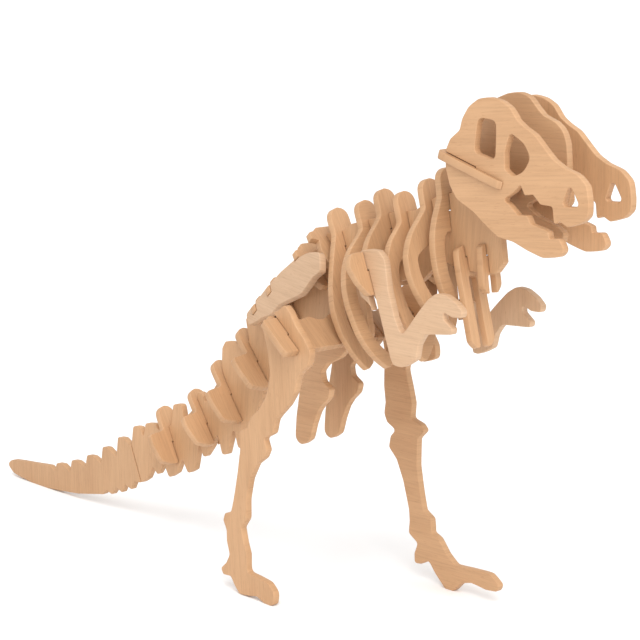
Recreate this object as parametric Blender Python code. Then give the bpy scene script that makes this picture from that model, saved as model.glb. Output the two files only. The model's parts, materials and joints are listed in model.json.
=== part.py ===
"""A standing two-legged dinosaur skeleton, slotted together from flat plywood pieces.

Drawing numbers are millimetres. The drawing's origin is on the ground under the hips, the animal faces
+X, its right side is -Y and Z is up. Upright plates are drawn as (x, z). Cross plates are drawn as (y, n),
where n runs up the plate from its station, and the station's slope tilts the plate square to the spine.
"""

import math

import bmesh
import bpy
from mathutils import Vector

MM = 0.001
CENTRE_X = 43.0  # moves the drawing so that the middle of its length is at the origin
SHEET = 3.0  # plywood thickness
SLOT = 3.6  # width of every slot: the sheet and a gap of 0.3 on both sides
GAP = 0.3
CORNER = 0.8  # usual radius of a routed corner
ARC_STEP = math.radians(38.0)
STRAIGHT = math.radians(4.0)
REACH = 0.46  # an arc takes at most this share of the edges beside it
FAR = 60.0  # a cutter reaches this far out of an open slot

HEAD_Y = 11.5
PELVIS_Y = 8.0
LEG_Y = 34.0
ARM_Y = 22.0
SHOULDER = (54.0, 142.0)  # x and z about which an arm is turned in its slot

# Stations of the cross plates: x and z of the plate's top on the spine, and the spine's slope in degrees.
TAIL_STATIONS = [(-107.0, 57.0, 28.0), (-84.0, 68.5, 36.0), (-67.5, 84.0, 38.0), (-50.5, 100.5, 42.0)]
HIP_STATIONS = [(-35.5, 116.5, 44.0), (-26.0, 125.5, 44.0), (-8.5, 141.5, 44.0), (0.8, 149.0, 44.0)]
RIB_STATIONS = {
    "a": (9.0, 158.0, 24.0),
    "b": (25.0, 162.5, 22.0),
    "c": (36.0, 168.0, 20.0),
    "d": (47.0, 168.0, 18.0),
    "e": (60.5, 174.0, 15.0),
    "f": (70.0, 179.0, 10.0),
}
THROAT_STATIONS = {"g": (80.5, 150.5, 15.0), "h": (91.5, 152.5, 9.0)}
HIP_BAR_STATION = (12.8, 117.4, 51.8)
SHOULDER_STATION = (49.7, 146.0, 20.0)
SKULL_BASE_STATION = (111.6, 176.2, 73.5)

TAIL_SLOT_DEPTH = 17.0
HIP_SLOT_DEPTH = 14.0
RIB_SLOT_DEPTH = 16.0
THROAT_SLOT_DEPTH = 4.5
HIP_BAR_DEPTH = 18.0
HIP_BAR_HALF = 42.5
SHOULDER_HALF = 32.5
SHOULDER_SLOT_TOP = -1.5  # where the shoulder bar meets the backbone
ARM_SLOT_TOP = -6.5  # where the shoulder bar meets an arm
SKULL_BASE_LENGTH = 34.0
SKULL_BASE_HALF = 14.7
SKULL_SIDE_MEET = 15.0  # where the skull base plate meets a side of the head
SKULL_CENTRE_MEET = 12.0
NECK_MEET = (18.0, 30.0)  # the part of the skull base plate inside the neck

ILIUM_START = (-27.0, 117.0)  # x and z of the blade's own zero on the spine side
ILIUM_Y = 7.0
ILIUM_SLOPE = 44.0
ILIUM_LEAN = 20.0
BLADE_MEET = 2.0  # how far down the blade its notches meet the arms of the hip vertebrae


def clear_scene():
    for obj in list(bpy.data.objects):
        bpy.data.objects.remove(obj)


# ---------------------------------------------------------------- materials


def wood(name, colour, roughness):
    material = bpy.data.materials.new(name)
    material.use_nodes = True
    shader = material.node_tree.nodes["Principled BSDF"]
    shader.inputs["Base Color"].default_value = (*colour, 1.0)
    shader.inputs["Roughness"].default_value = roughness
    return material


def face_wood():
    return wood("birch_ply", (0.62, 0.39, 0.22), 0.62)


def pale_wood():
    return wood("pale_birch_ply", (0.70, 0.48, 0.30), 0.6)


# ---------------------------------------------------------------- outlines


def arc_corner(before, here, after, radius):
    """The points that round one corner of an outline."""
    into = before - here
    out = after - here
    turn = math.pi - into.angle(out)
    if radius <= 0.0 or turn < STRAIGHT:
        return [here]
    half = math.tan(turn / 2)
    reach = min(radius * half, REACH * into.length, REACH * out.length)
    fitted = reach / half
    start = here + into.normalized() * reach
    middle = (into.normalized() + out.normalized()).normalized()
    centre = here + middle * fitted / math.cos(turn / 2)
    side = 1.0 if into.cross(out) < 0 else -1.0
    steps = max(1, math.ceil(turn / ARC_STEP))
    arm = start - centre
    points = []
    for i in range(steps + 1):
        angle = side * turn * i / steps
        c, s = math.cos(angle), math.sin(angle)
        points.append(centre + Vector((c * arm.x - s * arm.y, s * arm.x + c * arm.y)))
    return points


def rounded(corners, radius=CORNER):
    """The closed outline with its corners rounded. A corner's third number is its own radius."""
    path = []
    for i, corner in enumerate(corners):
        before = Vector(corners[i - 1][:2])
        after = Vector(corners[(i + 1) % len(corners)][:2])
        own = corner[2] if len(corner) > 2 else radius
        path += arc_corner(before, Vector(corner[:2]), after, own)
    return path


def mirrored(half):
    """A symmetric outline from its right half, listed from the top middle to the bottom middle."""
    left = [(-corner[0], *corner[1:]) for corner in reversed(half)]
    return half + left


def turned(corners, pivot, degrees):
    """The outline turned about a point of its own drawing."""
    c, s = math.cos(math.radians(degrees)), math.sin(math.radians(degrees))
    moved = []
    for corner in corners:
        a, b = corner[0] - pivot[0], corner[1] - pivot[1]
        moved.append((pivot[0] + c * a - s * b, pivot[1] + s * a + c * b, *corner[2:]))
    return moved


def inset(points, width):
    """The line that runs this far to the inner side of a half rib's outer line."""
    inner = []
    for i, point in enumerate(points):
        before = Vector(points[max(i - 1, 0)][:2])
        after = Vector(points[min(i + 1, len(points) - 1)][:2])
        along = (after - before).normalized()
        inner.append((point[0] + along.y * width, point[1] - along.x * width))
    return inner


# ---------------------------------------------------------------- solids


class Frame:
    """Where a drawing lies: its zero, its two drawing directions and the direction of its thickness."""

    def __init__(self, zero, across, up):
        self.zero = Vector(zero)
        self.across = Vector(across)
        self.up = Vector(up)
        self.normal = self.across.cross(self.up)

    def place(self, a, b, t):
        point = self.zero + self.across * a + self.up * b + self.normal * t
        return (point + Vector((CENTRE_X, 0.0, 0.0))) * MM


def upright(y):
    return Frame((0.0, y, 0.0), (1.0, 0.0, 0.0), (0.0, 0.0, 1.0))


def station_frame(station):
    x, z, slope = station
    angle = math.radians(slope)
    return Frame((x, 0.0, z), (0.0, 1.0, 0.0), (-math.sin(angle), 0.0, math.cos(angle)))


def prism(name, path, frame, thickness):
    """The closed path extruded by half the thickness to both sides of its drawing plane."""
    mesh = bpy.data.meshes.new(name)
    bm = bmesh.new()
    low = [bm.verts.new(frame.place(p[0], p[1], -thickness / 2)) for p in path]
    high = [bm.verts.new(frame.place(p[0], p[1], thickness / 2)) for p in path]
    bm.faces.new(low)
    bm.faces.new(high)
    for i in range(len(path)):
        j = (i + 1) % len(path)
        bm.faces.new((low[i], low[j], high[j], high[i]))
    bmesh.ops.recalc_face_normals(bm, faces=bm.faces)
    bm.to_mesh(mesh)
    bm.free()
    obj = bpy.data.objects.new(name, mesh)
    bpy.context.collection.objects.link(obj)
    return obj


def box(name, frame, a, b, thickness):
    """A cutter with the ranges a and b in the frame's drawing plane."""
    path = [(a[0], b[0]), (a[1], b[0]), (a[1], b[1]), (a[0], b[1])]
    return prism(name, path, frame, thickness)


def cut(obj, cutter):
    cutter.hide_render = True
    cutter.display_type = "WIRE"
    boolean = obj.modifiers.new(cutter.name, "BOOLEAN")
    boolean.operation = "DIFFERENCE"
    boolean.solver = "EXACT"
    boolean.object = cutter


def plate(name, path, frame, material):
    obj = prism(name, path, frame, SHEET)
    obj.data.materials.append(material)
    return obj


def slot_for_cross(obj, station, low, high):
    """Cuts the slot where an upright plate takes the cross plate of a station, over this range of n."""
    x, z, slope = station
    angle = math.radians(slope)
    along = (math.cos(angle), 0.0, math.sin(angle))
    frame = Frame((x, 0.0, z), along, (-math.sin(angle), 0.0, math.cos(angle)))
    cut(obj, box(obj.name + "_slot", frame, (-SLOT / 2, SLOT / 2), (low, high), 200.0))


def slot_for_upright(obj, station, y, low, high):
    """Cuts the slot where a cross plate takes the upright plate at y, over this range of n."""
    frame = station_frame(station)
    cut(obj, box(obj.name + "_slot", frame, (y - SLOT / 2, y + SLOT / 2), (low, high), 4 * SHEET))


# ---------------------------------------------------------------- spine


def backbone(material):
    tail_top = [
        (-129.3, 35.0),
        (-127.8, 44.5, 1.6),
        (-122.4, 45.0, 1.6),
        (-119.8, 39.5),
        (-118.3, 47.5, 1.5),
        (-110.6, 48.6, 1.5),
        (-108.6, 46.0),
        (-99.0, 50.0),
        (-97.2, 60.0, 1.8),
        (-91.0, 61.0, 1.8),
        (-89.4, 54.5),
        (-80.4, 62.0),
        (-78.8, 69.0, 1.2),
        (-75.5, 68.0, 1.2),
        (-74.2, 64.0),
        (-62.5, 78.5),
        (-61.8, 91.0, 1.5),
        (-59.5, 94.2, 1.5),
        (-52.0, 95.0, 1.5),
    ]
    back_top = [
        (-48.5, 93.0),
        (-43.5, 97.0),
        (-45.8, 106.0, 1.5),
        (-42.0, 108.4, 1.5),
        (-37.0, 105.0),
        (-33.0, 112.0),
        (-23.0, 124.0),
        (-18.0, 132.0),
        (-13.5, 132.5),
        (-5.0, 138.0),
        (2.0, 142.0),
        (6.0, 148.0),
        (16.0, 150.0),
        (20.0, 153.0),
        (31.5, 156.0),
        (44.0, 160.0),
        (55.5, 161.5),
        (67.0, 168.0),
        (75.0, 170.0),
    ]
    neck = [
        (76.0, 184.0),
        (79.0, 192.0, 2.0),
        (88.0, 194.0, 0.4),
        (88.0, 171.0),
        (93.5, 165.0),
        (100.2, 156.5),
        (101.8, 146.5),
        (98.0, 142.0, 2.0),
        (89.0, 141.5),
        (80.0, 141.5, 2.0),
        (70.0, 144.0, 3.0),
    ]
    belly = [
        (59.0, 134.0, 3.0),
        (48.0, 131.5, 3.0),
        (38.0, 131.5, 3.0),
        (27.0, 131.0, 3.0),
        (29.5, 118.0, 3.0),
        (31.5, 110.0, 3.0),
        (28.0, 103.0, 3.0),
        (19.0, 102.5, 3.0),
        (11.5, 108.0, 3.0),
        (4.0, 106.0, 3.0),
        (-8.0, 101.0, 3.0),
        (-20.0, 93.0, 3.0),
        (-30.0, 83.0, 3.0),
        (-38.0, 68.0, 3.0),
    ]
    tail_under = [
        (-45.0, 55.0, 2.0),
        (-51.0, 46.5, 1.5),
        (-54.5, 57.0),
        (-59.0, 44.0, 1.5),
        (-62.5, 43.0, 1.5),
        (-65.5, 52.0),
        (-70.0, 45.0, 1.5),
        (-75.5, 38.5, 1.5),
        (-78.5, 46.0),
        (-82.0, 32.5, 1.5),
        (-87.0, 29.8, 1.5),
        (-91.2, 36.0),
        (-95.0, 28.5, 1.5),
        (-101.0, 25.0, 1.5),
        (-104.8, 31.0),
        (-109.4, 24.4, 1.2),
        (-113.0, 28.0),
        (-117.0, 21.4, 1.2),
        (-121.9, 18.5),
    ]
    path = rounded(tail_top + back_top + neck + belly + tail_under)
    obj = plate("backbone", path, upright(0.0), material)
    for station in TAIL_STATIONS:
        slot_for_cross(obj, station, -TAIL_SLOT_DEPTH - GAP, 12.0)
    for station in HIP_STATIONS:
        slot_for_cross(obj, station, -HIP_SLOT_DEPTH - GAP, 12.0)
    for station in RIB_STATIONS.values():
        slot_for_cross(obj, station, -RIB_SLOT_DEPTH - GAP, 12.0)
    for station in THROAT_STATIONS.values():
        slot_for_cross(obj, station, -FAR, -THROAT_SLOT_DEPTH + GAP)
    slot_for_cross(obj, HIP_BAR_STATION, -FAR, -HIP_BAR_DEPTH / 2 + GAP)
    slot_for_cross(obj, SHOULDER_STATION, -FAR, SHOULDER_SLOT_TOP + GAP)
    slot_for_cross(obj, SKULL_BASE_STATION, *NECK_MEET)
    return obj


def tail_end(material):
    spikes = [(-193.0, -188.0, 10.0, 14.5), (-180.0, -175.5, 12.0, 18.5), (-167.0, -162.0, 17.0, 23.5)]
    spikes += [(-154.0, -150.0, 21.5, 30.0), (-141.5, -137.0, 27.0, 37.0)]
    top = [(-236.0, 5.5, 2.0), (-231.5, 8.5, 4.0), (-223.0, 9.5, 4.0), (-212.0, 10.5), (-198.0, 12.0, 2.0)]
    for notch_x, tip_x, notch_z, tip_z in spikes:
        top.append((notch_x, notch_z, 0.9))
        top.append((notch_x + 1.5, tip_z, 1.4))
        top.append((tip_x + 1.6, tip_z + 0.4, 1.4))
    top.append((-129.9, 34.6, 0.9))
    under = [
        (-122.5, 18.2),
        (-127.5, 18.0, 0.8),
        (-130.0, 13.5),
        (-135.0, 15.0, 0.8),
        (-137.5, 10.5),
        (-142.0, 12.0, 0.8),
        (-145.5, 8.0),
        (-150.0, 9.0, 0.8),
        (-153.0, 6.5),
        (-174.0, 2.5, 8.0),
        (-190.0, 0.8, 8.0),
        (-200.0, 0.0, 8.0),
        (-214.0, 0.0, 8.0),
        (-230.0, 1.5, 4.0),
    ]
    return plate("tail_end", rounded(top + under), upright(0.0), material)


def vertebra(name, station, half, slot_depth, material):
    obj = plate(name, rounded(mirrored(half), 1.2), station_frame(station), material)
    slot_for_upright(obj, station, 0.0, -FAR, -slot_depth)
    return obj


def tail_vertebrae(material):
    small = [(4.3, 0.0, 4.2), (4.3, -11.0, 1.5), (12.5, -12.0, 1.5), (12.5, -17.0, 3.0), (10.4, -25.0, 2.5)]
    small += [(5.0, -27.0, 3.0)]
    large = [(4.4, 0.0, 4.2), (4.4, -12.5, 1.5), (13.0, -13.5, 1.5), (12.8, -19.0, 3.0), (11.0, -28.0, 2.5)]
    large += [(5.0, -30.0, 3.0)]
    shapes = [small, small, large, large]
    for i, station in enumerate(TAIL_STATIONS):
        name = "tail_vertebra_%d" % (i + 1)
        vertebra(name, station, shapes[i], TAIL_SLOT_DEPTH, material)


def blade_height(station):
    """The n of the hip blade's zero line at this station."""
    x, z, slope = station
    angle = math.radians(slope)
    return (x - ILIUM_START[0]) * math.sin(angle) - (z - ILIUM_START[1]) * math.cos(angle)


def hip_vertebrae(material):
    """Each has a short arm over both hip blades."""
    for i, station in enumerate(HIP_STATIONS):
        arm_top = blade_height(station) + 1.9
        half = [(4.4, 0.0, 4.0), (4.4, arm_top + 0.6, 0.6), (8.6, arm_top, 0.6)]
        half += [(9.3, arm_top - 3.0, 0.3), (8.0, arm_top - 8.0, 2.0)]
        half += [(8.0, -17.0, 2.0), (5.0, -22.0, 3.0)]
        obj = vertebra("hip_vertebra_%d" % (i + 1), station, half, HIP_SLOT_DEPTH, material)
        for side in (-1.0, 1.0):
            reach = (-FAR, 2 * FAR)
            cut(obj, box(obj.name + "_blade_slot", blade_frame(side), reach, (BLADE_MEET, FAR), SLOT))


# ---------------------------------------------------------------- ribs

RIB_BAND = 5.6
RIB_KNOB = 4.9
# Outer lines of the half ribs, (y, n), from the shoulder to the inward tip.
RIB_LINES = {
    "a": [
        (5.0, -13.0), (9.5, -20.0), (14.3, -31.0), (17.2, -41.0),
        (16.4, -51.0), (13.0, -60.0), (8.0, -67.0),
    ],
    "b": [
        (6.0, -13.5), (14.3, -19.0), (19.0, -25.0), (22.0, -33.5),
        (22.4, -41.5), (21.0, -52.0), (17.0, -61.0), (10.0, -67.5),
    ],
    "c": [
        (6.5, -12.5), (14.5, -19.0), (18.6, -26.0), (18.6, -33.0),
        (15.6, -42.0), (11.4, -51.0), (7.4, -58.0),
    ],
    "d": [
        (6.0, -14.0), (13.0, -19.0), (16.0, -25.0), (18.0, -34.0),
        (17.0, -43.0), (14.5, -51.0), (10.0, -58.0),
    ],
    "e": [
        (6.0, -13.5), (14.0, -19.5), (18.0, -26.0), (19.4, -32.0),
        (17.6, -40.0), (14.0, -48.0), (9.0, -53.0),
    ],
    "f": [
        (5.5, -13.0), (9.0, -18.5), (11.3, -25.0), (11.9, -32.0),
        (11.4, -39.0), (9.6, -46.0), (7.0, -52.0),
    ],
}
RIB_ARCH = 24.0


def rib_path(outer):
    inner = [p for p in inset(outer, RIB_BAND) if p[1] < -RIB_ARCH]
    knob = [(RIB_KNOB, 0.0, 4.6), (RIB_KNOB, outer[0][1] + 2.0, 3.0)]
    half = knob + [(*p, 12.0) for p in outer[1:-1]]
    half += [(*outer[-1], 1.5), (*inner[-1], 1.5)]
    half += [(*p, 12.0) for p in reversed(inner[:-1])]
    half += [(4.0, -RIB_ARCH, 3.0)]
    return rounded(mirrored(half))


def ribs(material):
    for key, station in RIB_STATIONS.items():
        obj = plate("rib_" + key, rib_path(RIB_LINES[key]), station_frame(station), material)
        slot_for_upright(obj, station, 0.0, -RIB_ARCH - 8.0, -RIB_SLOT_DEPTH)


def throat_ribs(material):
    """The two front ribs hang under the neck. They are slotted from above, and their arms stand close together."""
    sizes = {"g": (5.9, -38.5), "h": (4.6, -18.5)}
    for key, station in THROAT_STATIONS.items():
        wide, low = sizes[key]
        half = [(2.4, 0.0, 0.4), (wide - 0.6, -1.0, 2.0), (wide, -8.0, 4.0), (wide + 0.4, low + 2.5, 3.0)]
        half += [(wide - 2.0, low, 2.0), (1.9, low, 1.0), (1.9, -11.5, 1.0)]
        obj = plate("rib_" + key, rounded(mirrored(half)), station_frame(station), material)
        slot_for_upright(obj, station, 0.0, -THROAT_SLOT_DEPTH, FAR)


# ---------------------------------------------------------------- hips


def blade_frame(side):
    """The hip blade's plane: a runs forward along the spine and b runs down and outward."""
    slope = math.radians(ILIUM_SLOPE)
    lean = math.radians(ILIUM_LEAN)
    along = Vector((math.cos(slope), 0.0, math.sin(slope)))
    down = Vector((math.sin(slope), 0.0, -math.cos(slope))) * math.cos(lean)
    down += Vector((0.0, side, 0.0)) * math.sin(lean)
    return Frame((ILIUM_START[0], side * ILIUM_Y, ILIUM_START[1]), along, down)


def ilium(name, side, material):
    upper = [(-13.0, -2.0, 1.5), (-5.0, -2.0, 6.0), (6.0, -2.0, 6.0), (18.0, -1.0, 6.0), (30.0, 1.5, 6.0)]
    upper += [(39.0, 5.5, 8.0), (46.5, 11.0, 3.0), (43.8, 19.0, 1.5)]
    lower = [(38.0, 17.5, 4.0), (28.0, 18.5, 4.0), (20.0, 15.0, 4.0), (12.0, 11.5, 4.0)]
    lower += [(4.0, 11.0, 4.0), (-2.0, 8.0, 3.0), (-8.0, 6.0, 3.0), (-13.0, 4.0, 1.5)]
    frame = blade_frame(side)
    obj = plate(name, rounded(upper + lower), frame, material)
    slope = math.radians(ILIUM_SLOPE)
    for station in HIP_STATIONS:
        x, z = station[0] - ILIUM_START[0], station[1] - ILIUM_START[1]
        a = x * math.cos(slope) + z * math.sin(slope)
        sides = (a - SLOT / 2, a + SLOT / 2)
        cut(obj, box(name + "_notch", frame, sides, (-FAR, BLADE_MEET + GAP), 4 * SHEET))
    return obj


def pelvis(name, side, material):
    outline = [
        (-2.0, 101.0, 3.0),
        (1.0, 107.0, 3.0),
        (7.0, 111.5, 3.0),
        (12.0, 113.4, 2.0),
        (15.0, 112.6, 0.8),
        (21.0, 112.8, 0.2),
        (27.8, 107.5, 0.8),
        (27.2, 105.0, 1.0),
        (22.0, 100.0, 3.0),
        (14.6, 96.6, 3.0),
        (11.0, 93.0, 2.0),
        (12.0, 89.0, 2.0),
        (16.6, 86.4, 1.5),
        (15.4, 82.4, 2.0),
        (11.5, 79.0, 3.0),
        (8.8, 75.5, 3.0),
        (6.4, 70.0, 3.0),
        (4.4, 63.5, 3.0),
        (-1.0, 60.0, 3.0),
        (-4.8, 62.5, 3.0),
        (-4.0, 72.0, 3.0),
        (-2.0, 83.0, 3.0),
        (0.0, 92.0, 3.0),
    ]
    obj = plate(name, rounded(outline), upright(side * PELVIS_Y), material)
    slot_for_cross(obj, HIP_BAR_STATION, -HIP_BAR_DEPTH / 2 - GAP, FAR)
    return obj


def hip_bar(material):
    half = [(4.0, -2.4, 1.0), (9.0, -2.0, 3.0), (14.5, -5.0, 4.0), (20.0, -1.8, 3.0), (25.0, -3.0, 3.0)]
    half += [(29.0, 0.0, 2.0), (HIP_BAR_HALF, 0.0, 1.5), (HIP_BAR_HALF, -HIP_BAR_DEPTH, 1.5)]
    station = HIP_BAR_STATION
    obj = plate("hip_bar", rounded(mirrored(half)), station_frame(station), material)
    slot_for_upright(obj, station, 0.0, -HIP_BAR_DEPTH / 2, FAR)
    for y in (-LEG_Y, -PELVIS_Y, PELVIS_Y, LEG_Y):
        slot_for_upright(obj, station, y, -FAR, -HIP_BAR_DEPTH / 2)
    return obj


# ---------------------------------------------------------------- legs


def leg_right(material):
    thigh_and_shin = [
        (15.0, 121.5, 3.0),
        (18.8, 124.4, 2.0),
        (22.0, 121.5, 3.0),
        (25.5, 116.5, 6.0),
        (30.0, 112.5, 5.0),
        (34.0, 107.5, 3.0),
        (32.5, 102.0, 3.0),
        (27.0, 98.0, 3.0),
        (24.5, 90.0, 5.0),
        (20.5, 84.5, 3.0),
        (13.0, 77.5, 3.0),
        (11.5, 71.5, 2.0),
        (5.8, 68.5, 1.2),
        (7.8, 64.0, 1.2),
        (6.0, 60.5, 2.0),
        (1.0, 57.0, 2.0),
        (-3.0, 50.0, 4.0),
        (-5.2, 41.0, 4.0),
        (-5.2, 33.0, 2.0),
        (-8.6, 28.5, 1.5),
        (-7.0, 22.5, 2.0),
        (-5.2, 18.0, 2.0),
        (-5.2, 10.5, 2.0),
    ]
    foot = [
        (1.0, 10.0, 3.0),
        (8.0, 9.2, 3.0),
        (12.2, 5.5, 3.0),
        (11.0, 0.0, 2.0),
        (5.5, 0.0, 1.5),
        (1.0, 1.8, 2.0),
        (-4.0, 0.8, 2.0),
        (-10.0, 0.0, 3.0),
        (-13.5, 3.5, 2.0),
        (-15.5, 6.5, 1.5),
        (-20.5, 6.0, 1.2),
        (-22.0, 8.5, 1.2),
        (-18.5, 11.5, 1.5),
        (-16.2, 15.5, 2.0),
        (-18.0, 21.0, 2.0),
        (-18.0, 25.5, 2.0),
        (-20.2, 29.5, 1.2),
        (-19.0, 32.5, 1.2),
        (-15.0, 34.0, 2.0),
    ]
    back = [
        (-13.0, 41.0, 5.0),
        (-10.8, 51.0, 5.0),
        (-9.0, 61.0, 3.0),
        (-9.2, 69.0, 2.0),
        (-4.5, 71.0, 2.0),
        (-2.0, 76.0, 2.0),
        (3.0, 80.0, 3.0),
        (7.5, 86.0, 4.0),
        (10.0, 95.0, 5.0),
        (8.5, 105.0, 6.0),
        (5.0, 114.5, 3.0),
        (10.0, 119.5, 3.0),
    ]
    path = rounded(thigh_and_shin + foot + back)
    obj = plate("leg_right", path, upright(-LEG_Y), material)
    slot_for_cross(obj, HIP_BAR_STATION, -HIP_BAR_DEPTH / 2 - GAP, FAR)
    return obj


def leg_left(material):
    back = [
        (4.2, 95.0, 5.0),
        (2.0, 104.0, 6.0),
        (3.5, 113.0, 4.0),
        (9.0, 119.5, 3.0),
        (15.0, 124.0, 3.0),
        (20.0, 126.5, 2.5),
        (23.5, 123.0, 3.0),
        (26.5, 114.5, 5.0),
        (30.0, 107.0, 5.0),
        (34.0, 101.5, 3.0),
        (34.5, 96.0, 2.5),
        (27.5, 93.5, 4.0),
        (19.5, 94.5, 2.5),
        (16.8, 89.0, 3.0),
        (19.0, 82.0, 4.0),
        (21.0, 75.0, 3.0),
        (20.3, 68.5, 1.5),
        (26.0, 67.0, 1.5),
        (28.5, 64.5, 1.2),
        (24.2, 60.5, 2.0),
        (24.0, 49.0, 6.0),
        (26.0, 38.5, 4.0),
        (28.0, 30.5, 2.0),
        (32.5, 28.0, 1.2),
        (33.0, 24.5, 1.2),
        (33.0, 22.0, 1.2),
        (37.0, 20.5, 2.0),
        (41.5, 15.0, 3.0),
        (46.5, 11.2, 3.0),
    ]
    foot = [
        (55.0, 11.8, 4.0),
        (66.0, 12.3, 3.0),
        (71.5, 8.5, 1.8),
        (70.0, 5.6, 1.5),
        (64.0, 5.0, 3.0),
        (56.0, 6.0, 3.0),
        (50.5, 4.5, 2.0),
        (46.0, 0.0, 2.0),
        (41.0, 0.0, 2.0),
        (35.0, 5.5, 2.0),
        (31.5, 9.8, 1.8),
        (27.0, 7.2, 1.8),
        (23.2, 6.8, 1.2),
        (23.0, 11.0, 1.5),
        (25.0, 15.8, 1.5),
        (19.5, 19.0, 1.8),
        (20.0, 24.5, 2.0),
        (19.5, 29.5, 3.0),
        (16.0, 41.0, 5.0),
        (12.0, 49.5, 2.5),
        (7.2, 54.0, 1.5),
        (8.2, 59.0, 1.5),
        (11.3, 62.0, 1.2),
        (6.0, 64.5, 1.5),
        (4.2, 68.0, 2.0),
        (5.0, 73.0, 2.0),
        (4.0, 80.0, 4.0),
    ]
    obj = plate("leg_left", rounded(back + foot), upright(LEG_Y), material)
    slot_for_cross(obj, HIP_BAR_STATION, -HIP_BAR_DEPTH / 2 - GAP, FAR)
    return obj


# ---------------------------------------------------------------- arms


def arm(name, side, turn, material):
    outline = [
        (46.5, 144.0, 2.0),
        (49.0, 147.5, 2.0),
        (53.5, 148.5, 3.0),
        (58.5, 148.5, 3.0),
        (62.0, 145.5, 3.0),
        (64.0, 134.0, 6.0),
        (67.5, 124.0, 4.0),
        (71.2, 117.8, 1.5),
        (75.0, 122.0, 3.0),
        (79.0, 127.0, 4.0),
        (84.5, 133.0, 4.0),
        (89.0, 136.2, 3.0),
        (94.0, 136.0, 3.0),
        (99.0, 133.8, 2.0),
        (102.2, 131.2, 1.0),
        (101.8, 128.6, 1.0),
        (97.0, 128.2, 2.0),
        (92.5, 129.8, 1.8),
        (93.0, 126.8, 1.5),
        (97.4, 124.0, 1.0),
        (97.0, 121.8, 1.0),
        (89.0, 120.8, 3.0),
        (83.0, 120.0, 3.0),
        (80.0, 115.5, 3.0),
        (79.0, 110.0, 2.0),
        (75.0, 107.5, 2.0),
        (71.5, 105.8, 2.0),
        (67.0, 106.0, 2.5),
        (64.0, 110.5, 4.0),
        (58.5, 120.0, 5.0),
        (54.0, 127.5, 3.0),
        (49.0, 130.0, 2.0),
        (46.8, 135.0, 3.0),
    ]
    obj = plate(name, rounded(turned(outline, SHOULDER, turn)), upright(side * ARM_Y), material)
    slot_for_cross(obj, SHOULDER_STATION, -FAR, ARM_SLOT_TOP + GAP)
    return obj


def shoulder_bar(material):
    half = [(5.0, 3.0, 1.5), (9.0, 0.5, 1.5), (SHOULDER_HALF - 2.0, 1.0, 3.0), (SHOULDER_HALF, -4.0, 3.0)]
    half += [(SHOULDER_HALF - 3.0, -11.0, 5.0), (25.4, -16.0, 2.0), (12.0, -15.5, 3.0), (8.0, -12.0, 3.0)]
    station = SHOULDER_STATION
    obj = plate("shoulder_bar", rounded(mirrored(half)), station_frame(station), material)
    slot_for_upright(obj, station, 0.0, SHOULDER_SLOT_TOP, FAR)
    for y in (-ARM_Y, ARM_Y):
        slot_for_upright(obj, station, y, ARM_SLOT_TOP, FAR)
    return obj


# ---------------------------------------------------------------- skull


def skull_side(name, side, material):
    crown = [
        (83.0, 187.6, 1.5),
        (85.0, 191.5, 2.0),
        (89.6, 194.8, 2.0),
        (90.8, 199.0, 2.0),
        (93.8, 203.5, 4.0),
        (98.6, 206.6, 4.0),
        (104.0, 207.4, 6.0),
        (109.5, 206.4, 4.0),
        (114.0, 204.2, 4.0),
        (117.5, 199.8, 3.0),
        (121.0, 197.6, 3.0),
        (125.6, 195.4, 4.0),
        (129.6, 191.6, 4.0),
        (134.2, 187.4, 5.0),
        (139.2, 184.8, 5.0),
        (145.5, 183.0, 4.0),
        (149.8, 179.4, 4.0),
        (150.8, 173.5, 4.0),
        (150.8, 169.0, 3.0),
        (147.6, 166.3, 1.5),
        (141.5, 164.4, 1.5),
    ]
    teeth_and_jaw = [
        (137.8, 166.2, 0.8),
        (135.4, 164.6, 0.8),
        (134.6, 171.0, 1.2),
        (129.0, 171.2, 1.5),
        (125.5, 174.4, 0.8),
        (121.6, 173.8, 0.8),
        (119.6, 177.4, 0.6),
        (116.0, 174.2, 1.5),
        (111.4, 171.4, 0.8),
        (114.2, 170.0, 0.8),
        (118.4, 166.6, 1.5),
        (123.0, 166.8, 1.0),
        (124.6, 164.0, 1.5),
        (130.4, 162.8, 1.5),
        (133.0, 162.0, 0.8),
        (133.4, 159.6, 0.8),
        (138.0, 160.2, 1.5),
        (140.6, 156.0, 2.0),
        (138.0, 153.6, 2.0),
        (130.5, 152.5, 4.0),
        (123.4, 154.4, 5.0),
        (116.3, 156.9, 5.0),
        (109.0, 157.8, 3.0),
        (102.0, 162.2, 3.0),
        (96.6, 166.0, 3.0),
        (88.5, 169.6, 3.0),
        (85.0, 174.5, 3.0),
        (82.8, 181.0, 2.0),
    ]
    frame = upright(side * HEAD_Y)
    obj = plate(name, rounded(crown + teeth_and_jaw), frame, material)
    for hole in skull_windows():
        cutter = prism(name + "_window", rounded(hole, 1.5), frame, 4 * SHEET)
        cut(obj, cutter)
    slot_for_cross(obj, SKULL_BASE_STATION, SKULL_SIDE_MEET - GAP, FAR)
    return obj


def skull_windows():
    back = [(98.6, 200.0, 2.5), (107.6, 199.2, 2.5), (107.4, 184.9, 2.0), (97.0, 187.2, 2.0)]
    eye = [(114.2, 195.5, 1.5), (120.8, 192.0, 4.0), (124.2, 187.0, 3.0), (120.6, 181.8, 3.5)]
    eye += [(115.8, 180.0, 2.5), (112.0, 182.0, 1.5), (111.8, 188.5, 2.0)]
    nostril = [(142.0, 180.0, 1.4), (147.0, 171.8, 1.2), (138.8, 171.4, 1.2)]
    return [back, eye, nostril]


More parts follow.
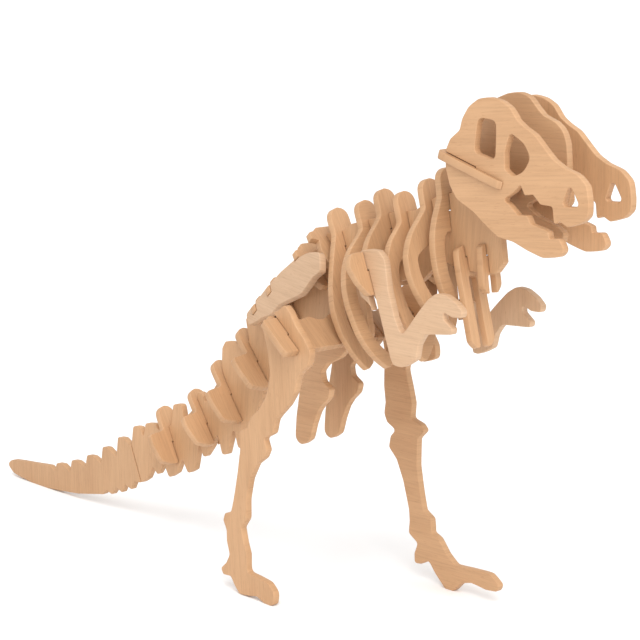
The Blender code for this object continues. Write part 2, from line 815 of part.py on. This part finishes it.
def skull_centre(material):
    outline = [
        (88.4, 196.0, 2.0),
        (91.0, 203.0, 3.0),
        (97.3, 206.4, 4.0),
        (102.2, 208.2, 5.0),
        (107.6, 209.0, 5.0),
        (112.7, 207.6, 4.0),
        (116.0, 204.2, 3.0),
        (119.4, 201.2, 3.0),
        (125.2, 199.2, 4.0),
        (128.8, 196.4, 4.0),
        (130.6, 192.0, 4.0),
        (131.2, 186.0, 5.0),
        (131.5, 178.0, 5.0),
        (133.0, 171.0, 3.0),
        (129.0, 168.0, 1.5),
        (125.0, 172.0, 1.5),
        (119.0, 172.5, 2.0),
        (112.0, 168.5, 1.0),
        (118.0, 165.0, 2.0),
        (126.0, 162.5, 2.0),
        (131.0, 160.0, 2.0),
        (128.5, 155.5, 3.0),
        (116.5, 157.6, 5.0),
        (109.0, 158.4, 3.0),
        (101.5, 162.6, 3.0),
        (95.0, 166.8, 2.0),
        (88.4, 172.4, 0.5),
    ]
    obj = plate("skull_centre", rounded(outline), upright(0.0), material)
    slot_for_cross(obj, SKULL_BASE_STATION, SKULL_CENTRE_MEET - GAP, FAR)
    return obj


def skull_base_plate(material):
    half = [(SKULL_BASE_HALF, SKULL_BASE_LENGTH), (SKULL_BASE_HALF, 0.0)]
    station = SKULL_BASE_STATION
    obj = plate("skull_base_plate", rounded(mirrored(half), 3.0), station_frame(station), material)
    for y in (-HEAD_Y, HEAD_Y):
        slot_for_upright(obj, station, y, -FAR, SKULL_SIDE_MEET)
    slot_for_upright(obj, station, 0.0, -FAR, SKULL_CENTRE_MEET)
    slot_for_upright(obj, station, 0.0, NECK_MEET[1] - GAP, FAR)
    return obj


def build():
    clear_scene()
    face = face_wood()
    pale = pale_wood()
    backbone(face)
    tail_end(face)
    tail_vertebrae(face)
    hip_vertebrae(face)
    ribs(face)
    throat_ribs(face)
    ilium("ilium_right", -1.0, pale)
    ilium("ilium_left", 1.0, pale)
    pelvis("pelvis_right", -1.0, face)
    pelvis("pelvis_left", 1.0, face)
    hip_bar(face)
    leg_right(face)
    leg_left(face)
    arm("arm_right", -1.0, 0.0, pale)
    arm("arm_left", 1.0, -4.0, pale)
    shoulder_bar(face)
    skull_side("skull_side_right", -1.0, face)
    skull_side("skull_side_left", 1.0, face)
    skull_centre(face)
    skull_base_plate(face)


build()
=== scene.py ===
"""The look of a slotted plywood dinosaur skeleton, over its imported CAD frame.

Each CAD plate is drawn again from its own outline, with smoother curves and softened edges. It has
one birch material, which covers its cut edges too. Lengths are metres.
"""

import json
import math
import random

import bmesh
import bpy
from mathutils import Matrix, Vector
from mathutils.geometry import tessellate_polygon


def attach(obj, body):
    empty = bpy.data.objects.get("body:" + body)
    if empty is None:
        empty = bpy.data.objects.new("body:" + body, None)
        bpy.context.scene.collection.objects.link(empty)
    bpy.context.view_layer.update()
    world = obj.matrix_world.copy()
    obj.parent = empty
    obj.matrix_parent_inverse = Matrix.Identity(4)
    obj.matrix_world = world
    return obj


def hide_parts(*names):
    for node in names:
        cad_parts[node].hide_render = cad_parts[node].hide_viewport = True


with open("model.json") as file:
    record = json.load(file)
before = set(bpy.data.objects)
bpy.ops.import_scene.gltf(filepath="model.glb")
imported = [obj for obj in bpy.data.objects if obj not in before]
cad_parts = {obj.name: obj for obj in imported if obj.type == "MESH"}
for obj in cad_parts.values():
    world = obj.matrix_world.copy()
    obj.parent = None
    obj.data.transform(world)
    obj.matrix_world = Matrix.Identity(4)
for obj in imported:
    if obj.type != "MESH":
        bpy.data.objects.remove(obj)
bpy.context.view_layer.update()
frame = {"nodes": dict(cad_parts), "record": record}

MM = 0.001

# Reading a plate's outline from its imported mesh.
NORMAL_SIDE = Vector((1.0, 0.5, 0.25))  # a plate's normal is turned to point this way
FACE_DEPTH = 0.1 * MM  # a triangle this near the top of a plate belongs to its upper face
SAME_PLACE = 0.005 * MM  # the grid that tells which corners are the same
SAME_POINT = 0.03 * MM  # outline points nearer than this become one
STRAIGHT = math.radians(0.4)  # a turn below this is a straight run

# Smoothing the outline. Turns between these two are parts of a curve, and larger ones are corners.
SMOOTH_FROM = math.radians(3.0)
SMOOTH_TO = math.radians(44.0)
SMOOTH_ROUNDS = 2
CORNER_CUT = 0.25  # the share of each side that is cut away at such a turn

# Rounding the sharp corner between a face and a cut edge.
EDGE_ROUND = 0.28 * MM
EDGE_ANGLES = [math.radians(90.0), math.radians(45.0), 0.0]  # rings from the face to the cut edge
SHORTEST_MITRE = 0.6  # stops a pointed corner from moving in too far
SHARP_FROM = math.radians(48.0)  # a cut edge that turns this much keeps a hard line

# Linear colours.
TONES = {"birch_ply": (0.52, 0.302, 0.156), "pale_birch_ply": (0.56, 0.367, 0.225)}
UNCHANGED = (1.0, 1.0, 1.0)  # what a multiplied layer leaves as it was

# Noise scales per metre. The last number runs through the sheet, the others along its plane.
STREAKS = (60.0, 1500.0, 1.0)
FIGURE = (22.0, 110.0, 1.0)
PORES = (300.0, 3600.0, 1.0)

FIRST_SEED = 100
SEED_STEP = 10

FLOOR_HALF = 60.0
FLOOR_WHITE = 0.93
BACKDROP_STRENGTH = 0.97

# The camera stands off the head's right side and looks a little down.
TARGET = Vector((0.043, 0.0, 0.1114))
AZIMUTH = math.radians(48.0)
ELEVATION = math.radians(10.3)
DISTANCE = 0.7755
LENS = 106.875
SENSOR = 36.0
NEAREST = 0.01


# ---------------------------------------------------------------- outlines


def sheet_frame(mesh):
    """The matrix of the plate's drawing plane and its thickness, from its largest flat faces."""
    areas = {}
    for polygon in mesh.polygons:
        normal = polygon.normal
        if normal.dot(NORMAL_SIDE) < 0:
            normal = -normal
        key = tuple(round(value, 2) for value in normal)
        area, total = areas.get(key, (0.0, Vector()))
        areas[key] = (area + polygon.area, total + normal * polygon.area)
    normal = max(areas.values(), key=lambda entry: entry[0])[1].normalized()
    across = Vector((0.0, 0.0, 1.0)).cross(normal).normalized()
    up = normal.cross(across)
    heights = [vertex.co.dot(normal) for vertex in mesh.vertices]
    low, high = min(heights), max(heights)
    matrix = Matrix((across, up, normal)).transposed().to_4x4()
    matrix.translation = normal * (low + high) / 2
    return matrix, high - low


def face_loops(mesh, matrix):
    """The closed outlines of the plate's upper face, in its drawing plane."""
    to_plane = matrix.inverted()
    local = [to_plane @ vertex.co for vertex in mesh.vertices]
    names = [(round(p.x / SAME_PLACE), round(p.y / SAME_PLACE)) for p in local]
    places = dict(zip(names, local))
    high = max(p.z for p in local)
    edges = set()
    for polygon in mesh.polygons:
        corners = list(polygon.vertices)
        if min(local[corner].z for corner in corners) < high - FACE_DEPTH:
            continue
        for i, corner in enumerate(corners):
            start, end = names[corners[i - 1]], names[corner]
            if (end, start) in edges:
                edges.remove((end, start))
            elif start != end:
                edges.add((start, end))
    after = dict(sorted(edges))
    loops = []
    while after:
        here = next(iter(after))
        loop = []
        while here in after:
            loop.append(places[here].to_2d())
            here = after.pop(here)
        loops.append(loop)
    return loops


def turn_at(loop, i):
    into = loop[i] - loop[i - 1]
    out = loop[(i + 1) % len(loop)] - loop[i]
    return abs(into.angle_signed(out, 0.0))


def cleaned(loop):
    """The loop without doubled points and points on a straight run."""
    apart = [p for i, p in enumerate(loop) if (p - loop[i - 1]).length > SAME_POINT]
    return [p for i, p in enumerate(apart) if turn_at(apart, i) > STRAIGHT]


def softened(loop):
    """Cuts the small turns of a curve again and again, and leaves real corners."""
    for _ in range(SMOOTH_ROUNDS):
        finer = []
        for i, here in enumerate(loop):
            if not SMOOTH_FROM < turn_at(loop, i) < SMOOTH_TO:
                finer.append(here)
                continue
            finer.append(here.lerp(loop[i - 1], CORNER_CUT))
            finer.append(here.lerp(loop[(i + 1) % len(loop)], CORNER_CUT))
        loop = finer
    return loop


# ---------------------------------------------------------------- materials


class Nodes:
    """Short calls that add and link the nodes of one material."""

    def __init__(self, name):
        self.material = bpy.data.materials.new(name)
        self.material.use_nodes = True
        self.tree = self.material.node_tree
        self.shader = self.tree.nodes["Principled BSDF"]

    def add(self, kind, **settings):
        node = self.tree.nodes.new(kind)
        for key, value in settings.items():
            setattr(node, key, value)
        return node

    def link(self, source, target):
        self.tree.links.new(source, target)

    def place(self, offset, turn, scale):
        """Object coordinates moved, turned about the sheet's normal and stretched."""
        coordinates = self.add("ShaderNodeTexCoord")
        mapping = self.add("ShaderNodeMapping")
        mapping.inputs["Location"].default_value = offset
        mapping.inputs["Rotation"].default_value = (0.0, 0.0, turn)
        stretch = self.add("ShaderNodeVectorMath", operation="MULTIPLY")
        stretch.inputs[1].default_value = scale
        self.link(coordinates.outputs["Object"], mapping.inputs["Vector"])
        self.link(mapping.outputs["Vector"], stretch.inputs[0])
        return stretch.outputs["Vector"]

    def noise(self, vector, detail, roughness):
        node = self.add("ShaderNodeTexNoise")
        node.inputs["Scale"].default_value = 1.0
        node.inputs["Detail"].default_value = detail
        node.inputs["Roughness"].default_value = roughness
        self.link(vector, node.inputs["Vector"])
        return node.outputs["Fac"]

    def ramp(self, factor, stops):
        node = self.add("ShaderNodeValToRGB")
        elements = node.color_ramp.elements
        while len(elements) < len(stops):
            elements.new(0.5)
        for element, (position, colour) in zip(elements, stops):
            element.position = position
            element.color = (*colour, 1.0)
        self.link(factor, node.inputs["Fac"])
        return node.outputs["Color"]

    def multiply(self, amount, base, layer):
        """The base colour with this share of the layer multiplied in."""
        node = self.add("ShaderNodeMix", data_type="RGBA", blend_type="MULTIPLY")
        node.inputs[0].default_value = amount
        colours = [socket for socket in node.inputs if socket.type == "RGBA"]
        for source, socket in zip((base, layer), colours):
            self.link(source, socket)
        return next(socket for socket in node.outputs if socket.type == "RGBA")

    def span(self, value, low, high, to_low, to_high):
        """The value carried from the first range to the second."""
        node = self.add("ShaderNodeMapRange")
        ends = {"From Min": low, "From Max": high, "To Min": to_low, "To Max": to_high}
        for key, number in ends.items():
            node.inputs[key].default_value = number
        self.link(value, node.inputs["Value"])
        return node.outputs["Result"]

    def bump(self, height, strength, distance):
        node = self.add("ShaderNodeBump")
        node.inputs["Strength"].default_value = strength
        node.inputs["Distance"].default_value = distance
        self.link(height, node.inputs["Height"])
        self.link(node.outputs["Normal"], self.shader.inputs["Normal"])


def scaled(colour, factor):
    return tuple(min(1.0, channel * factor) for channel in colour)


def face_ply(name, tone, seed):
    """Rotary-cut birch: long fine streaks, a broad figure and short dark pores along the grain."""
    chance = random.Random(seed)
    offset = tuple(chance.uniform(-3.0, 3.0) for _ in range(3))
    turn = chance.choice((0.0, math.pi / 2)) + math.radians(chance.uniform(-5.0, 5.0))
    own = scaled(tone, chance.uniform(0.95, 1.05))
    nodes = Nodes(name)
    streaks = nodes.noise(nodes.place(offset, turn, STREAKS), detail=4.0, roughness=0.6)
    figure = nodes.noise(nodes.place(offset, turn, FIGURE), detail=2.0, roughness=0.5)
    pores = nodes.noise(nodes.place(offset, turn, PORES), detail=1.0, roughness=0.4)
    dark, light = scaled(own, 0.90), scaled(own, 1.07)
    base = nodes.ramp(streaks, [(0.30, dark), (0.50, own), (0.72, light)])
    shade = nodes.ramp(figure, [(0.32, (0.92, 0.89, 0.86)), (0.62, UNCHANGED)])
    ticks = nodes.ramp(pores, [(0.26, (0.62, 0.52, 0.42)), (0.34, UNCHANGED)])
    colour = nodes.multiply(0.9, base, shade)
    colour = nodes.multiply(0.35, colour, ticks)
    nodes.link(colour, nodes.shader.inputs["Base Color"])
    nodes.link(nodes.span(streaks, 0.3, 0.7, 0.66, 0.52), nodes.shader.inputs["Roughness"])
    nodes.bump(streaks, 0.25, 0.08 * MM)
    return nodes.material


# ---------------------------------------------------------------- pieces


def add_object(name, data):
    """A new object in the scene, around this mesh, lamp or camera."""
    item = bpy.data.objects.new(name, data)
    bpy.context.collection.objects.link(item)
    return item


def inset(loop, width):
    """The outline moved this far into the sheet. The sheet is on the left of every outline."""
    moved = []
    for i, here in enumerate(loop):
        into = (here - loop[i - 1]).normalized()
        out = (loop[(i + 1) % len(loop)] - here).normalized()
        middle = (into + out).normalized()
        stretch = max(middle.dot(into), SHORTEST_MITRE)
        moved.append(here + Vector((-middle.y, middle.x)) * width / stretch)
    return moved


def ring_levels(thickness):
    """How far each ring of a rounded edge moves in, and its height, from the top to the bottom."""
    upper = []
    for angle in EDGE_ANGLES:
        width = EDGE_ROUND * (1 - math.cos(angle))
        upper.append((width, thickness / 2 - EDGE_ROUND * (1 - math.sin(angle))))
    return upper + [(width, -height) for width, height in reversed(upper)]


def sheet_mesh(name, loops, thickness):
    """A filled sheet with rounded edges."""
    levels = ring_levels(thickness)
    points, sides, rims, upper, lower = [], [], [], [], []
    for loop in loops:
        count, first = len(loop), len(points)
        rings = [inset(loop, width) for width, _ in levels]
        for ring, (_, height) in zip(rings, levels):
            points += [(p.x, p.y, height) for p in ring]
        last = len(points) - count
        for low in range(first, last, count):
            for i in range(count):
                j = (i + 1) % count
                sides.append((low + i, low + j, low + count + j, low + count + i))
        rims.append([Vector((p.x, p.y, 0.0)) / MM for p in rings[0]])
        upper += range(first, first + count)
        lower += range(last, last + count)
    fill = tessellate_polygon(rims)
    top = [tuple(upper[corner] for corner in face) for face in fill]
    bottom = [tuple(lower[corner] for corner in reversed(face)) for face in fill]
    mesh = bpy.data.meshes.new(name)
    mesh.from_pydata(points, [], sides + top + bottom)
    shade_edges(mesh, len(sides))
    return mesh


def shade_edges(mesh, side_count):
    """Shades the gentle turns of the cut edges smoothly. Their faces come first in the mesh."""
    shell = bmesh.new()
    shell.from_mesh(mesh)
    bmesh.ops.recalc_face_normals(shell, faces=shell.faces)
    for face in shell.faces:
        face.smooth = True
    for edge in shell.edges:
        cut_edge = all(face.index < side_count for face in edge.link_faces)
        edge.smooth = cut_edge and edge.calc_face_angle(0.0) < SHARP_FROM
    shell.to_mesh(mesh)
    shell.free()


def make_piece(name, node, slot, seed):
    matrix, thickness = sheet_frame(node.data)
    loops = [softened(cleaned(loop)) for loop in face_loops(node.data, matrix)]
    mesh = sheet_mesh("ply_" + name, loops, thickness)
    mesh.materials.append(face_ply("face_" + name, TONES[slot], seed))
    piece = add_object("ply_" + name, mesh)
    piece.matrix_world = matrix
    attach(piece, "root")
    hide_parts(name)


def make_pieces():
    slots = {part["node"]: part["material_slot"] for part in frame["record"]["subparts"]}
    for i, name in enumerate(sorted(frame["nodes"])):
        make_piece(name, frame["nodes"][name], slots[name], FIRST_SEED + SEED_STEP * i)


# ---------------------------------------------------------------- studio


def make_floor():
    corners = [(-1, -1), (1, -1), (1, 1), (-1, 1)]
    mesh = bpy.data.meshes.new("floor")
    mesh.from_pydata([(x * FLOOR_HALF, y * FLOOR_HALF, 0) for x, y in corners], [], [(0, 1, 2, 3)])
    floor = add_object("floor", mesh)
    nodes = Nodes("floor_paper")
    nodes.shader.inputs["Base Color"].default_value = (FLOOR_WHITE, FLOOR_WHITE, FLOOR_WHITE, 1.0)
    nodes.shader.inputs["Roughness"].default_value = 0.9
    mesh.materials.append(nodes.material)


def make_lamp(name, kind, place, power, soft):
    """A white lamp aimed at the model. Soft is a sun's angle or an area lamp's width."""
    light = bpy.data.lights.new(name, kind)
    light.energy = power
    if kind == "SUN":
        light.angle = soft
    else:
        light.size = soft
    lamp = add_object(name, light)
    lamp.location = place
    lamp.rotation_euler = (Vector(place) - TARGET).to_track_quat("Z", "Y").to_euler()


def make_lights():
    world = bpy.data.worlds.new("studio")
    bpy.context.scene.world = world
    world.use_nodes = True
    background = world.node_tree.nodes["Background"]
    background.inputs["Color"].default_value = (1.0, 1.0, 1.0, 1.0)
    background.inputs["Strength"].default_value = BACKDROP_STRENGTH
    make_lamp("overhead", "SUN", (0.75, -0.55, 1.4), power=1.35, soft=math.radians(34.0))
    make_lamp("front", "AREA", (0.8, -0.45, 0.45), power=2.2, soft=0.35)


def make_camera():
    camera = bpy.data.cameras.new("camera")
    camera.sensor_width = SENSOR
    camera.lens = LENS
    camera.clip_start = NEAREST
    stand = add_object("camera", camera)
    level = math.cos(ELEVATION)
    back = Vector((math.sin(AZIMUTH) * level, -math.cos(AZIMUTH) * level, math.sin(ELEVATION)))
    stand.location = TARGET + back * DISTANCE
    stand.rotation_euler = back.to_track_quat("Z", "Y").to_euler()
    bpy.context.scene.camera = stand


make_pieces()
make_floor()
make_lights()
make_camera()
bpy.context.scene.view_settings.view_transform = "Standard"
